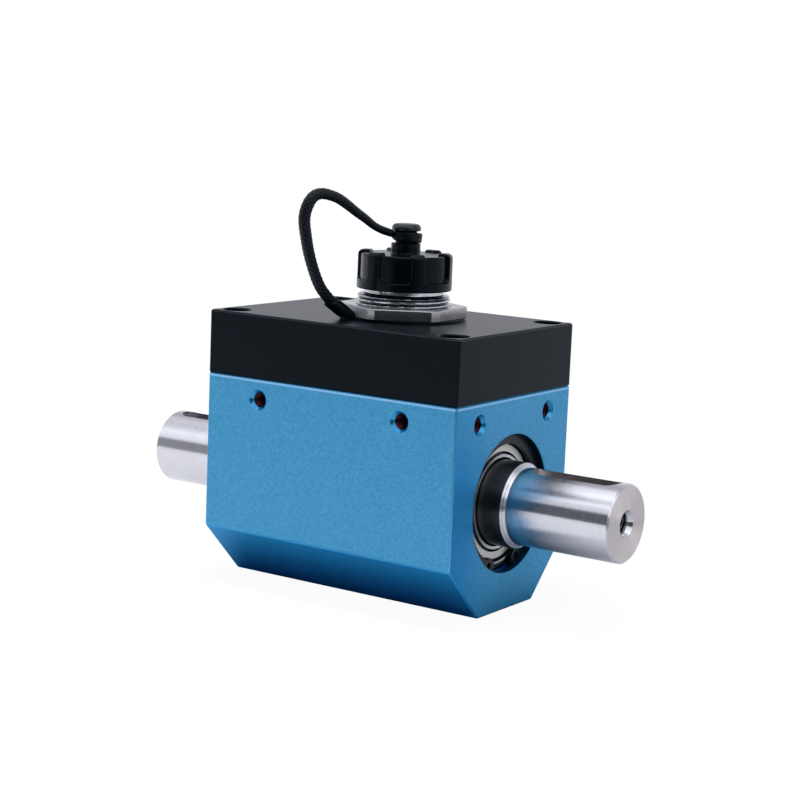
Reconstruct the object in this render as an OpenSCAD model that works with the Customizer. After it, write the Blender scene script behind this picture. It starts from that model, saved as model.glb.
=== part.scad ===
// Rotary torque sensor: block housing, keyed through shaft on two ball bearings,
// ring transformers, signal board, and a capped round connector on the cover.
// Millimetres. X runs along the shaft, -Y is the front, +Z is up, the base is at z = 0.

/* [Housing] */
// Length of the housing along the shaft
body_l = 70; // [69:0.5:72]
// Depth of the housing, front to back
body_w = 50; // [49:0.5:54]
// Height of the housing block
body_h = 50; // [49:0.5:52]
// Leg of the two large lower chamfers
base_chamfer = 13; // [10:0.5:13]
// Break on the sharp edges
edge_break = 0.4; // [0.2:0.1:0.5]
// Height of the shaft's centre line above the base
axis_z = 25; // [25:0.5:26]

/* [Cover] */
// Height of the cover
cover_h = 15; // [14:0.5:18]
// Thickness of the cover's roof
cover_roof = 4; // [3.5:0.25:4.5]
// Chamfer on the cover's top edges
cover_chamfer = 0.5; // [0.3:0.1:0.8]
// Radius of the counterbores for the cover screws
cbore_r = 3.25; // [3:0.05:3.5]
// Screw position from the centre, along X
screw_x = 30.5; // [30:0.5:31]
// Screw position from the centre, along Y
screw_y = 20.5; // [20:0.5:21]

/* [Mounting holes] */
// Thread radius of the mounting holes
hole_r = 2; // [1.6:0.05:2.2]
// Depth of the threaded holes
hole_depth = 9; // [7:0.5:9.5]
// Distance between the two front holes
front_spacing = 40; // [36:1:42]
// Distance between the two end holes
end_spacing = 30; // [29:0.5:31]
// Height of all four holes above the base
hole_z = 45; // [44.5:0.25:45.5]

/* [Shaft] */
// Whole length of the shaft
shaft_l = 130; // [126:1:140]
// Radius of the shaft ends
shaft_r = 9; // [8.5:0.25:9.25]
// Distance from the centre to the shoulder
shoulder_x = 38; // [37.5:0.25:39]
// Width of the keyways
key_w = 6; // [5:0.5:6]
// Depth of the keyways
key_d = 3.5; // [2.5:0.25:3.5]
// Length of the keyways
key_l = 22; // [18:0.5:22]
// Distance from the shaft's end to the keyway
key_gap = 2; // [1.5:0.25:3]
// Core radius of the threaded holes in the shaft's ends
end_hole_r = 2.5; // [2.1:0.1:2.6]
// Radius of the thin middle that carries the gauges
torsion_r = 8; // [7:0.25:8.5]

/* [Connector and cap] */
// Connector position along X
conn_x = 3; // [2:0.25:4]
// Across flats of the panel nut
nut_af = 27; // [26:0.5:28]
// Height of the panel nut
nut_h = 2.6; // [2.4:0.1:2.8]
// Radius of the dust cap
cap_r = 11.2; // [11:0.1:11.6]
// Number of ribs on the dust cap
cap_ribs = 6; // [4:1:8]
// Direction of the tether, in degrees about Z
tether_a = -114; // [-118:1:-110]
// Radius of the tether cord
cord_r = 1.3; // [1.2:0.05:1.35]

/* [Hidden] */
$fn = 64;

hx = body_l / 2;
hy = body_w / 2;
top_z = body_h + cover_h;          // top face of the cover
roof_z = top_z - cover_roof;       // underside of the roof
journal_r = 10;
bore_r = 16;                       // bearing seat
mid_r = 14.5;                      // bore between the bearings
bear_x = hx - 10;                  // inner face of a bearing
bear_w = 7;
pitch_r = 13;                      // ball circle
ball_r = 1.75;
race_r = 1.80;
balls = 11;
snap_x = bear_x + bear_w;          // inner face of a retaining ring
snap_t = 1.2;
coil_x0 = 12.5;
coil_x1 = 19.5;
board_z = body_h + 4;
board_t = 1.6;
thread_r = 11;
ring_t = 0.5;
nut_z = top_z + ring_t;
shell_z = top_z + 5.65;            // top of the thread
cap_z = top_z + 6.8;               // lower rim of the cap
cap_top = cap_z + 8.2;             // flat top of the cap
rib_a0 = 20.6;
nut_a0 = 4;

function unit(v) = v / norm(v);
// the polygon with every corner cut back by b
function broken(p, b) = let (n = len(p)) [for (i = [0:n - 1]) each
  [p[i] + b[i] * unit(p[(i + n - 1) % n] - p[i]), p[i] + b[i] * unit(p[(i + 1) % n] - p[i])]];

module on_axis() { translate([0, 0, axis_z]) rotate([0, 90, 0]) children(); }
// solid of revolution about the shaft, from points [radius, x]
module turned(p, a = 0) { on_axis() rotate(a) rotate_extrude($fn = 96) polygon(p); }
module tube_x(r0, r1, x0, x1) { on_axis() translate([0, 0, x0]) difference() {
  cylinder(r = r1, h = x1 - x0); translate([0, 0, -1]) cylinder(r = r0, h = x1 - x0 + 2); } }
module mirror_x(left) { if (left) mirror([1, 0, 0]) children(); else children(); }
// bar along X with the given profile in Y and Z
module bar_x(p, l) { rotate([90, 0, 90]) translate([0, 0, -l / 2]) linear_extrude(l) polygon(p); }
// cutters for the edges at both ends of a bar
module end_breaks(p, l, b) { n = len(p); for (s = [-1, 1], i = [0:n - 1]) let (a = p[i], c = p[(i + 1) % n], m = (a + c) / 2, d = c - a)
  translate([s * l / 2, m[0], m[1]]) rotate([atan2(d[1], d[0]), 0, 0]) rotate([0, 45, 0])
    cube([b[i] * sqrt(2), norm(d) + 2, b[i] * sqrt(2)], center = true); }
// blind threaded hole with its countersink, mouth at the origin, going down -Z
module blind(r, depth) { translate([0, 0, -depth]) cylinder(r = r, h = depth + 1); translate([0, 0, -0.5]) cylinder(r1 = r, r2 = r + 0.51, h = 0.51); }
module at_screws() { for (sx = [-1, 1], sy = [-1, 1]) translate([sx * screw_x, sy * screw_y, 0]) children(); }
module at_posts() { for (sx = [-1, 1], sy = [-1, 1]) translate([sx * 26, sy * 10, 0]) children(); }
module at_conn() { translate([conn_x, 0, 0]) children(); }

body_p = [[-hy, base_chamfer], [base_chamfer - hy, 0], [hy - base_chamfer, 0], [hy, base_chamfer], [hy, body_h], [-hy, body_h]];
body_b = [for (i = [0:5]) edge_break];
cover_p = [[-hy, body_h], [hy, body_h], [hy, top_z], [-hy, top_z]];
cover_b = [0.3, 0.3, cover_chamfer, cover_chamfer];

module housing() {
  color([0.16, 0.44, 0.62]) difference() {
    bar_x(broken(body_p, body_b), body_l);
    end_breaks(body_p, body_l, body_b);
    on_axis() translate([0, 0, -hx - 1]) cylinder(r = mid_r, h = body_l + 2, $fn = 96);
    for (s = [0, 1]) mirror_x(s == 1) {
      on_axis() translate([0, 0, bear_x]) cylinder(r = bore_r, h = 12, $fn = 96);
      on_axis() translate([0, 0, snap_x]) cylinder(r = 16.85, h = snap_t + 0.1, $fn = 96);
      on_axis() translate([0, 0, snap_x + snap_t]) cylinder(r = bore_r + 0.15, h = 12, $fn = 96);
      on_axis() translate([0, 0, hx - 0.2]) cylinder(r1 = bore_r + 0.15, r2 = bore_r + 0.37, h = 0.22, $fn = 96);
    }
    translate([-22, -11, axis_z + 9]) cube([44, 22, body_h]);
    for (s = [-1, 1]) {
      translate([s * front_spacing / 2, -hy, hole_z]) rotate([90, 0, 0]) blind(hole_r, hole_depth);
      translate([hx, s * end_spacing / 2, hole_z]) rotate([0, 90, 0]) blind(hole_r, hole_depth);
    }
    at_screws() translate([0, 0, body_h - 10]) cylinder(r = 1.25, h = 12, $fn = 32);
    at_posts() translate([0, 0, body_h - 5]) cylinder(r = 1.2, h = 6, $fn = 32);
  }
}

module top_cover() {
  color([0.10, 0.10, 0.11]) difference() {
    bar_x(broken(cover_p, cover_b), body_l);
    end_breaks(cover_p, body_l, [0.3, edge_break, cover_chamfer, edge_break]);
    translate([-30, -14.5, body_h - 1]) cube([60, 29, roof_z - body_h + 1]);
    translate([-24.5, -21, body_h - 1]) cube([49, 42, roof_z - body_h + 1]);
    at_screws() { translate([0, 0, top_z - 9]) cylinder(r = cbore_r, h = 12, $fn = 48);
      translate([0, 0, top_z - 0.3]) cylinder(r1 = cbore_r, r2 = cbore_r + 0.32, h = 0.32, $fn = 48);
      translate([0, 0, body_h - 1]) cylinder(r = 1.7, h = 20, $fn = 32); }
    at_conn() translate([0, 0, body_h]) cylinder(r = thread_r + 0.1, h = 30);
  }
}

module cover_screws() {
  z0 = top_z - 9;
  color([0.13, 0.13, 0.14]) at_screws() difference() {
    union() {
      translate([0, 0, z0]) cylinder(r = 2.75, h = 3, $fn = 32);
      translate([0, 0, z0 - 14]) cylinder(r = 1.25, h = 14.5, $fn = 32);
    }
    translate([0, 0, z0 + 1.6]) cylinder(r = 1.44, h = 2, $fn = 6);
  }
}

module key_cut() {
  on_axis() mirror([1, 0, 0]) translate([shaft_r - key_d, 0, shaft_l / 2 - key_gap]) rotate([0, 90, 0]) linear_extrude(10) {
    translate([key_w / 2, 0]) circle(d = key_w, $fn = 48);
    translate([key_l - key_w / 2, 0]) circle(d = key_w, $fn = 48);
    translate([key_w / 2, -key_w / 2]) square([key_l - key_w, key_w]);
  }
}
module shaft() {
  e = shaft_l / 2; s = shoulder_x;
  right = [[0, e], [shaft_r - 0.4, e], [shaft_r, e - 0.4], [shaft_r, s + 1], [journal_r - 0.5, s + 0.5], [journal_r - 0.5, s + 0.4],
    [journal_r - 0.4, s + 0.4], [journal_r, s], [journal_r, 12], [torsion_r, 11]];
  left = [for (i = [len(right) - 1:-1:0]) [right[i][0], -right[i][1]]];
  color([0.78, 0.78, 0.80]) difference() {
    turned(concat(right, left), 37.5);
    for (s2 = [0, 1]) mirror_x(s2 == 1) {
      key_cut();
      on_axis() translate([0, 0, e - 1.2]) cylinder(r1 = end_hole_r, r2 = end_hole_r + 0.7, h = 1.21, $fn = 48);
      on_axis() translate([0, 0, e - 16]) cylinder(r = end_hole_r, h = 17, $fn = 48);
      on_axis() translate([0, 0, e - 17.4]) cylinder(r1 = 0.1, r2 = end_hole_r, h = 1.41, $fn = 48);
    }
  }
}

module outer_ring() {
  x0 = bear_x; x1 = bear_x + bear_w; c = 0.35;
  difference() {
    turned([[14.3, x0 + 0.3], [14.6, x0], [bore_r - c, x0], [bore_r, x0 + c], [bore_r, x1 - c], [bore_r - c, x1], [14.6, x1], [14.3, x1 - 0.3]]);
    on_axis() translate([0, 0, x0 + bear_w / 2]) rotate_extrude($fn = 96) translate([pitch_r, 0]) circle(r = race_r, $fn = 32);
  }
}
module inner_ring() {
  x0 = bear_x; x1 = bear_x + bear_w; c = 0.4;
  difference() {
    turned([[journal_r + c, x0], [11.1, x0], [11.1, x0 + 1], [11.7, x0 + 1], [11.7, x1 - 1], [11.1, x1 - 1], [11.1, x1],
      [journal_r + c, x1], [journal_r, x1 - c], [journal_r, x0 + c]]);
    on_axis() translate([0, 0, x0 + bear_w / 2]) rotate_extrude($fn = 96) translate([pitch_r, 0]) circle(r = race_r, $fn = 32);
  }
}
// pressed plate with a raised middle, s is the way out of the bearing
module shield(x, s) { turned([[11.75, x - s * 0.35], [13.4, x - s * 0.35], [13.65, x - s * 0.6], [14.3, x - s * 0.6], [14.3, x - s * 0.85], [13.5, x - s * 0.85], [13.25, x - s * 0.6], [11.75, x - s * 0.6]]); }
module shields() { shield(bear_x, -1); shield(bear_x + bear_w, 1); }
module at_balls() { on_axis() translate([0, 0, bear_x + bear_w / 2]) for (i = [0:balls - 1]) rotate(i * 360 / balls) translate([pitch_r, 0, 0]) children(); }
module ball_set() { at_balls() sphere(r = ball_r, $fn = 24); }
module cage() { difference() { tube_x(12.3, 13.7, bear_x + 1.2, bear_x + 3.3); at_balls() sphere(r = ball_r + 0.06, $fn = 24); } }
module snap_ring() {
  color([0.09, 0.09, 0.09]) translate([snap_x, 0, axis_z]) rotate([90, 0, 90]) linear_extrude(snap_t) difference() {
    union() {
      difference() {
        circle(r = 16.8, $fn = 96);
        translate([0, -0.2]) circle(r = 13.9, $fn = 96);
        rotate(-87) polygon([[0, 0], [30 * cos(15), -30 * sin(15)], [30 * cos(15), 30 * sin(15)]]);
      }
      for (s = [-1, 1]) intersection() {
        circle(r = 16.8, $fn = 96);
        rotate(-87 + s * 23.5) translate([15.1, 0]) circle(r = 1.9, $fn = 40);
      }
    }
    for (s = [-1, 1]) rotate(-87 + s * 23.5) translate([15, 0]) circle(r = 0.75, $fn = 32);
  }
}

module bearing_outer_right() { color([0.72, 0.72, 0.73]) outer_ring(); }
module bearing_inner_right() { color([0.80, 0.80, 0.81]) inner_ring(); }
module bearing_shields_right() { color([0.66, 0.65, 0.61]) shields(); }
module balls_right() { color([0.85, 0.85, 0.86]) ball_set(); }
module cage_right() { color([0.70, 0.62, 0.40]) cage(); }
module retaining_ring_right() { snap_ring(); }
module bearing_outer_left() { mirror_x(true) bearing_outer_right(); }
module bearing_inner_left() { mirror_x(true) bearing_inner_right(); }
module bearing_shields_left() { mirror_x(true) bearing_shields_right(); }
module balls_left() { mirror_x(true) balls_right(); }
module cage_left() { mirror_x(true) cage_right(); }
module retaining_ring_left() { mirror_x(true) snap_ring(); }

module strain_gauges() {
  color([0.80, 0.55, 0.25]) intersection() {
    tube_x(torsion_r, torsion_r + 0.2, -8, 1);
    translate([0, 0, axis_z]) union() for (a = [0, 90]) rotate([a + 45, 0, 0]) translate([-8, -20, -2.6]) cube([9, 40, 5.2]);
  }
}
module rotor_circuit() {
  color([0.10, 0.35, 0.18]) difference() {
    tube_x(torsion_r, torsion_r + 0.8, 2.5, 10.5);
    translate([0, -2.5, axis_z - 20]) cube([20, 5, 20]);
  }
}
module rotor_bobbin_right() { color([0.20, 0.20, 0.22]) turned([[journal_r, coil_x0], [12.3, coil_x0], [12.3, coil_x0 + 1], [10.8, coil_x0 + 1], [10.8, coil_x1 - 1], [12.3, coil_x1 - 1], [12.3, coil_x1], [journal_r, coil_x1]]); }
module rotor_winding_right() { color([0.72, 0.36, 0.16]) tube_x(10.8, 12.1, coil_x0 + 1, coil_x1 - 1); }
module rotor_bobbin_left() { mirror_x(true) rotor_bobbin_right(); }
module rotor_winding_left() { mirror_x(true) rotor_winding_right(); }
module stator_bobbin_right() { color([0.20, 0.20, 0.22]) turned([[mid_r, coil_x0], [12.8, coil_x0], [12.8, coil_x0 + 1], [13.9, coil_x0 + 1], [13.9, coil_x1 - 1], [12.8, coil_x1 - 1], [12.8, coil_x1], [mid_r, coil_x1]]); }
module stator_winding_right() { color([0.72, 0.36, 0.16]) tube_x(13, 13.9, coil_x0 + 1, coil_x1 - 1); }
module stator_bobbin_left() { mirror_x(true) stator_bobbin_right(); }
module stator_winding_left() { mirror_x(true) stator_winding_right(); }
module spacer_right() { color([0.75, 0.76, 0.78]) tube_x(journal_r, 11.1, coil_x1, bear_x); }
module spacer_left() { mirror_x(true) spacer_right(); }
module stator_leads() {
  color([0.70, 0.10, 0.10]) for (x = [-16, 16], y = [-1.5, 1.5]) translate([x, y, axis_z + mid_r - 0.3]) cylinder(r = 0.5, h = board_z - axis_z - mid_r + 0.3, $fn = 24);
}

module signal_board() {
  color([0.05, 0.35, 0.20]) difference() {
    translate([-29, -13.5, board_z]) cube([58, 27, board_t]);
    at_posts() translate([0, 0, board_z - 1]) cylinder(r = 1.2, h = 4, $fn = 32);
  }
}
module board_chips() {
  z = board_z + board_t;
  color([0.08, 0.08, 0.08]) { translate([-22, -5, z]) cube([9, 9, 1.4]); translate([-20, 6, z]) cube([6, 4, 1.2]); translate([18, -4, z]) cube([5, 6, 1.4]); }
}
module board_standoffs() {
  color([0.72, 0.60, 0.30]) at_posts() difference() {
    union() { translate([0, 0, body_h]) cylinder(r = 2.2, h = board_z - body_h, $fn = 6); translate([0, 0, body_h - 4]) cylinder(r = 1.2, h = 4.5, $fn = 32); }
    translate([0, 0, board_z - 3]) cylinder(r = 0.8, h = 4, $fn = 24);
  }
}
module board_screws() {
  z = board_z + board_t;
  color([0.70, 0.70, 0.72]) at_posts() difference() {
    union() { translate([0, 0, z]) cylinder(r = 1.8, h = 1.2, $fn = 32); translate([0, 0, board_z - 2.5]) cylinder(r = 0.8, h = 2.5 + board_t + 0.5, $fn = 24); }
    translate([-2, -0.2, z + 0.7]) cube([4, 0.4, 1]);
  }
}

module connector_shell() {
  f0 = roof_z - 2.8; f1 = roof_z - 0.8;
  zs = [for (i = [0:8]) [thread_r - 0.6 * ((i + 1) % 2), shell_z - 4.4 + i * 0.5]];
  p = concat([[7.6, f0 - 0.8], [13, f0 - 0.8], [13, f1], [thread_r, f1], [thread_r, shell_z - 4.6]], zs,
    [[9.6, shell_z], [9.2, shell_z + 0.2], [9.2, top_z + 11.8], [8.8, top_z + 12.2], [7.6, top_z + 12.2]]);
  color([0.75, 0.76, 0.78]) at_conn() rotate_extrude($fn = 96) polygon(p);
}
module connector_insert() {
  z0 = roof_z - 3.6;
  color([0.07, 0.07, 0.07]) at_conn() difference() {
    translate([0, 0, z0]) cylinder(r = 7.6, h = top_z + 1 - z0);
    for (i = [0:4]) rotate(i * 72) translate([4.4, 0, z0 - 1]) cylinder(r = 0.7, h = 30, $fn = 24);
  }
}
module connector_contacts() {
  z0 = board_z + board_t;
  color([0.85, 0.68, 0.28]) at_conn() for (i = [0:4]) rotate(i * 72) translate([4.4, 0, 0])
    rotate_extrude($fn = 24) polygon([[0, z0], [0.7, z0], [0.7, top_z + 6], [0.35, top_z + 6.5], [0, top_z + 6.5]]);
}
module connector_seal() {
  color([0.06, 0.06, 0.06]) at_conn() translate([0, 0, roof_z - 0.8]) difference() { cylinder(r = 12.8, h = 0.8); translate([0, 0, -1]) cylinder(r = thread_r + 0.1, h = 3); }
}
module connector_nut() {
  color([0.74, 0.75, 0.76]) at_conn() translate([0, 0, nut_z]) difference() {
    intersection() {
      rotate(nut_a0 + 30) cylinder(r = nut_af / 2 / cos(30), h = nut_h, $fn = 6);
      rotate_extrude($fn = 96) polygon([[0, 0], [nut_af / 2 + 1.5, 0], [nut_af / 2 + 1.5, nut_h - 0.35], [nut_af / 2 - 0.1, nut_h], [0, nut_h]]);
    }
    translate([0, 0, -1]) cylinder(r = thread_r + 0.05, h = nut_h + 2, $fn = 96);
  }
}
module tether_ring() {
  color([0.06, 0.06, 0.06]) at_conn() translate([0, 0, top_z]) difference() {
    union() { cylinder(r = 14.6, h = ring_t, $fn = 96); rotate(tether_a) translate([14, -1.1, 0]) cube([2.4, 2.2, ring_t]); }
    translate([0, 0, -1]) cylinder(r = thread_r + 0.05, h = 3, $fn = 96);
  }
}

// the tether lies in one upright plane through the connector; points are [distance from its axis, height above the cover]
sleeve_a = [14, 0];
sleeve_b = [19.5, 4];
sleeve_r = 1.6;
sleeve_cut = 36;                   // slant of the sleeve's upper end
eye_tilt = 5.5;                    // the tether holds the eye askew
eye_a = [3, 19.2];
eye_b = [6.5, 20.5];
eye_r = 1;
route = [[17, 2.25], [18.5, 3.25], [20, 4.5], [21, 5.5], [22, 6.5], [23, 8], [24, 10], [25, 12.5], [26, 15.5], [26.5, 17.5], [27, 20], [27.5, 23],
  [27, 25.5], [26, 27.5], [25, 28.5], [23, 29], [21, 28.5], [19, 28], [16.5, 26.5], [13.5, 24.5], [11, 23], [9, 21.5], [6.5, 20.5]];
function slope(a, b) = atan2(b[1] - a[1], b[0] - a[0]);
module in_plane(a, b) { at_conn() rotate(tether_a) translate([a[0], 0, top_z + a[1]]) rotate([0, 90 - slope(a, b), 0]) children(); }

module tether_sleeve() {
  l = norm(sleeve_b - sleeve_a);
  color([0.06, 0.06, 0.06]) difference() {
    in_plane(sleeve_a, sleeve_b) difference() {
      cylinder(r = sleeve_r, h = l + 2, $fn = 48);
      translate([0, 0, 3.9]) cylinder(r = cord_r + 0.03, h = l, $fn = 48);
      translate([0, 0, l]) rotate([0, -sleeve_cut, 0]) translate([-5, -5, 0]) cube([10, 10, 6]);
    }
    at_conn() { translate([-40, -40, top_z + ring_t - 10]) cube([80, 80, 10]); translate([0, 0, top_z]) cylinder(r = nut_af / 2 + 0.4, h = 10, $fn = 96); }
  }
}

// smooth curve through the route, and the tube swept along it
function spline(p, k, t) = let (n = len(p), a = p[max(k - 1, 0)], b = p[k], c = p[min(k + 1, n - 1)], d = p[min(k + 2, n - 1)])
  0.5 * (2 * b + (c - a) * t + (2 * a - 5 * b + 4 * c - d) * t * t + (3 * b - a - 3 * c + d) * t * t * t);
curve = [for (k = [0:len(route) - 2], t = [0, 0.5]) spline(route, k, t), route[len(route) - 1]];
cord_n = len(curve);
cord_sides = 8;
function cord_rad(i) = let (left = cord_n - 1 - i) left > 8 ? cord_r : cord_r - (cord_r - 0.85) * (1 - left / 8);
function cord_dir(i) = unit(curve[min(i + 1, cord_n - 1)] - curve[max(i - 1, 0)]);
cord_pts = [for (i = [0:cord_n - 1], j = [0:cord_sides - 1]) let (d = cord_dir(i), a = j * 360 / cord_sides, r = cord_rad(i))
  [curve[i][0] - r * cos(a) * d[1], r * sin(a), curve[i][1] + r * cos(a) * d[0]]];
cord_faces = concat([[for (j = [0:cord_sides - 1]) j]], [[for (j = [cord_sides - 1:-1:0]) (cord_n - 1) * cord_sides + j]],
  [for (i = [0:cord_n - 2], j = [0:cord_sides - 1]) let (k = (j + 1) % cord_sides)
    [i * cord_sides + j, (i + 1) * cord_sides + j, (i + 1) * cord_sides + k, i * cord_sides + k]]);
module tether_cord() { color([0.07, 0.07, 0.07]) at_conn() rotate(tether_a) translate([0, 0, top_z]) polyhedron(points = cord_pts, faces = cord_faces, convexity = 4); }

module at_eye() { at_conn() rotate(tether_a) translate([0, 0, cap_top + 4.1]) rotate([0, -eye_tilt, 0]) children(); }
module tether_eye() {
  color([0.06, 0.06, 0.06]) difference() {
    union() {
      at_eye() cylinder(r = 3.75, h = 2.1, center = true);
      in_plane(eye_a, eye_b) cylinder(r = eye_r, h = norm(eye_b - eye_a), $fn = 32);
    }
    at_eye() cylinder(r = 2.9, h = 10, center = true, $fn = 48);
    at_conn() translate([0, 0, cap_top + 5.15]) cylinder(r = 3.75, h = 5, $fn = 48);
  }
}

module sector(r, a, z0, z1) { translate([0, 0, z0]) linear_extrude(z1 - z0) polygon([[0, 0], [r * cos(a / 2), -r * sin(a / 2)], [r * cos(a / 2), r * sin(a / 2)]]); }
module dust_cap() {
  r = cap_r; z = cap_z; t = cap_top;
  color([0.07, 0.07, 0.07]) at_conn() union() {
    rotate_extrude($fn = 96) polygon([[9.28, z], [r - 0.2, z], [r, z + 0.2], [r, z + 2], [r - 0.8, z + 2], [r - 0.8, t - 0.6], [r - 1.4, t], [3.45, t],
      [3.45, t + 2.5], [2.5, t + 2.5], [2.5, t + 5.4], [3.4, t + 5.4], [3.4, t + 6.1], [2.5, t + 7], [0, t + 7], [0, t - 1.5], [9.28, t - 1.5]]);
    intersection() {
      rotate_extrude($fn = 96) polygon([[r - 1.2, z + 1.7], [r, z + 1.7], [r, t - 0.5], [r - 1.1, t + 0.6], [r - 2.8, t + 0.6], [r - 3.2, t - 0.3], [r - 1.2, t - 0.3]]);
      union() for (i = [0:cap_ribs - 1]) rotate(rib_a0 + i * 360 / cap_ribs) sector(20, 17.5, z, t + 4);
    }
  }
}
module cap_seal() {
  color([0.55, 0.12, 0.10]) at_conn() translate([0, 0, cap_top - 2.5]) difference() { cylinder(r = 9.2, h = 1); translate([0, 0, -1]) cylinder(r = 7, h = 3); }
}

housing();
top_cover();
cover_screws();
shaft();
bearing_outer_right();
bearing_inner_right();
bearing_shields_right();
balls_right();
cage_right();
retaining_ring_right();
bearing_outer_left();
bearing_inner_left();
bearing_shields_left();
balls_left();
cage_left();
retaining_ring_left();
strain_gauges();
rotor_circuit();
rotor_bobbin_right();
rotor_winding_right();
rotor_bobbin_left();
rotor_winding_left();
stator_bobbin_right();
stator_winding_right();
stator_bobbin_left();
stator_winding_left();
spacer_right();
spacer_left();
stator_leads();
signal_board();
board_chips();
board_standoffs();
board_screws();
connector_shell();
connector_insert();
connector_contacts();
connector_seal();
connector_nut();
tether_ring();
tether_sleeve();
tether_cord();
tether_eye();
dust_cap();
cap_seal();
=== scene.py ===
import math

import bpy
import numpy as np
from mathutils import Matrix, Vector


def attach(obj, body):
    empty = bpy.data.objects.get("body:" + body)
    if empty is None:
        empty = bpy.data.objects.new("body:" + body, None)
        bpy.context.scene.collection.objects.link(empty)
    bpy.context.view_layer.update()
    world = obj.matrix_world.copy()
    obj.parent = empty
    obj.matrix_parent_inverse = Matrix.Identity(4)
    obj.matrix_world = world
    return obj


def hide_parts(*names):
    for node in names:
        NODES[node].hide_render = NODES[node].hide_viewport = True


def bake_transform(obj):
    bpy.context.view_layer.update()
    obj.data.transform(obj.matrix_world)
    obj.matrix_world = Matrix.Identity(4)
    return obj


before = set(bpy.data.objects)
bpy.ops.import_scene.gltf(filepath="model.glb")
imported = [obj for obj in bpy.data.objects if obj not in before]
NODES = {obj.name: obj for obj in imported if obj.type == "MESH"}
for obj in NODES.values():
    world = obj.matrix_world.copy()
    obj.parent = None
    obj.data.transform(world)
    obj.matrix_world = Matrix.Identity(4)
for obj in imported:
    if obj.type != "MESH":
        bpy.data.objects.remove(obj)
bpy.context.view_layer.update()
SCENE = bpy.context.scene

# ---------------------------------------------------------------- camera
CAM_PLACE = (0.257447, -0.378310, 0.117393)
CAM_RIGHT = (0.8255394, 0.5627975, 0.0417566)
CAM_DOWN = (0.1222427, -0.1060954, -0.9868133)
CAM_AHEAD = (-0.5509459, 0.8197577, -0.1563838)
cam_data = bpy.data.cameras.new("camera")
cam_data.sensor_width = 36.0
cam_data.lens = 87.505
cam_data.clip_start, cam_data.clip_end = 0.01, 50.0
cam = bpy.data.objects.new("camera", cam_data)
SCENE.collection.objects.link(cam)
cam.matrix_world = Matrix((
    (CAM_RIGHT[0], -CAM_DOWN[0], -CAM_AHEAD[0], CAM_PLACE[0]),
    (CAM_RIGHT[1], -CAM_DOWN[1], -CAM_AHEAD[1], CAM_PLACE[1]),
    (CAM_RIGHT[2], -CAM_DOWN[2], -CAM_AHEAD[2], CAM_PLACE[2]),
    (0, 0, 0, 1)))
SCENE.camera = cam

# ---------------------------------------------------------------- mesh helpers, points in millimetres
TAU = 2 * math.pi


def mesh_piece(name, verts, faces, sharp=38.0):
    me = bpy.data.meshes.new(name)
    me.from_pydata((np.asarray(verts, float) * 0.001).tolist(), [], faces)
    me.validate()
    me.update()
    me.polygons.foreach_set("use_smooth", np.ones(len(me.polygons), bool))
    me.set_sharp_from_angle(angle=math.radians(sharp))
    obj = bpy.data.objects.new(name, me)
    SCENE.collection.objects.link(obj)
    return obj


class Builder:
    """Collects closed surfaces into one mesh."""

    def __init__(self):
        self.v, self.f, self.n = [], [], 0

    def add(self, verts, faces):
        verts = np.asarray(verts, float).reshape(-1, 3)
        self.v.append(verts)
        self.f.extend([tuple(i + self.n for i in f) for f in faces])
        self.n += len(verts)

    def piece(self, name, sharp=38.0):
        return mesh_piece(name, np.concatenate(self.v), self.f, sharp)


def grid_faces(rows, cols, wrap=True, flip=False):
    faces = []
    last = cols if wrap else cols - 1
    for i in range(rows - 1):
        for j in range(last):
            k = (j + 1) % cols
            q = (i * cols + j, i * cols + k, (i + 1) * cols + k, (i + 1) * cols + j)
            faces.append(q[::-1] if flip else q)
    return faces


def lathe(b, r, z, centre=(0.0, 0.0), start=0.0):
    """Closed surface of revolution about Z. r and z are arrays of rows by angles; a row of zero radius at either end is a pole."""
    rows, cols = r.shape
    a = start + np.arange(cols) * TAU / cols
    pts = np.stack([centre[0] + r * np.cos(a), centre[1] + r * np.sin(a), z], -1)
    lo, hi = (1 if r[0].max() < 1e-9 else 0), (rows - 1 if r[-1].max() < 1e-9 else rows)
    body = pts[lo:hi].reshape(-1, 3)
    faces = grid_faces(hi - lo, cols)
    verts = [body]
    n = len(body)
    if lo:
        verts.append(pts[0, :1])
        faces += [(n, (j + 1) % cols, j) for j in range(cols)]
        n += 1
    if hi < rows:
        verts.append(pts[-1, :1])
        base = (hi - lo - 1) * cols
        faces += [(n, base + j, base + (j + 1) % cols) for j in range(cols)]
        n += 1
    if not lo and hi == rows:  # ring section: join the last row to the first
        base = (rows - 1) * cols
        faces += [(base + j, base + (j + 1) % cols, (j + 1) % cols, j) for j in range(cols)]
    b.add(np.concatenate(verts), faces)


def arc(c, r, a0, a1, n):
    t = np.radians(np.linspace(a0, a1, n))
    return [(c[0] + r * math.cos(x), c[1] + r * math.sin(x)) for x in t]


def smooth(a, b, x):
    t = np.clip((x - a) / (b - a), 0, 1)
    return t * t * (3 - 2 * t)


def tube(b, pts, radii, side, sides=20, squash=None, caps=True):
    """Closed tube along points that lie in an upright plane whose normal is side."""
    pts = np.asarray(pts, float)
    n = len(pts)
    d = np.gradient(pts, axis=0)
    d /= np.linalg.norm(d, axis=1)[:, None]
    up = np.cross(side, d)
    a = np.arange(sides) * TAU / sides
    ring = pts[:, None, :] + np.asarray(radii)[:, None, None] * (np.cos(a)[None, :, None] * up[:, None, :] + np.sin(a)[None, :, None] * np.asarray(side)[None, None, :])
    if squash is not None:
        ring = squash(ring)
    faces = grid_faces(n, sides)
    if caps:
        faces.append(tuple(range(sides))[::-1])
        faces.append(tuple((n - 1) * sides + j for j in range(sides)))
    b.add(ring, faces)


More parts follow.
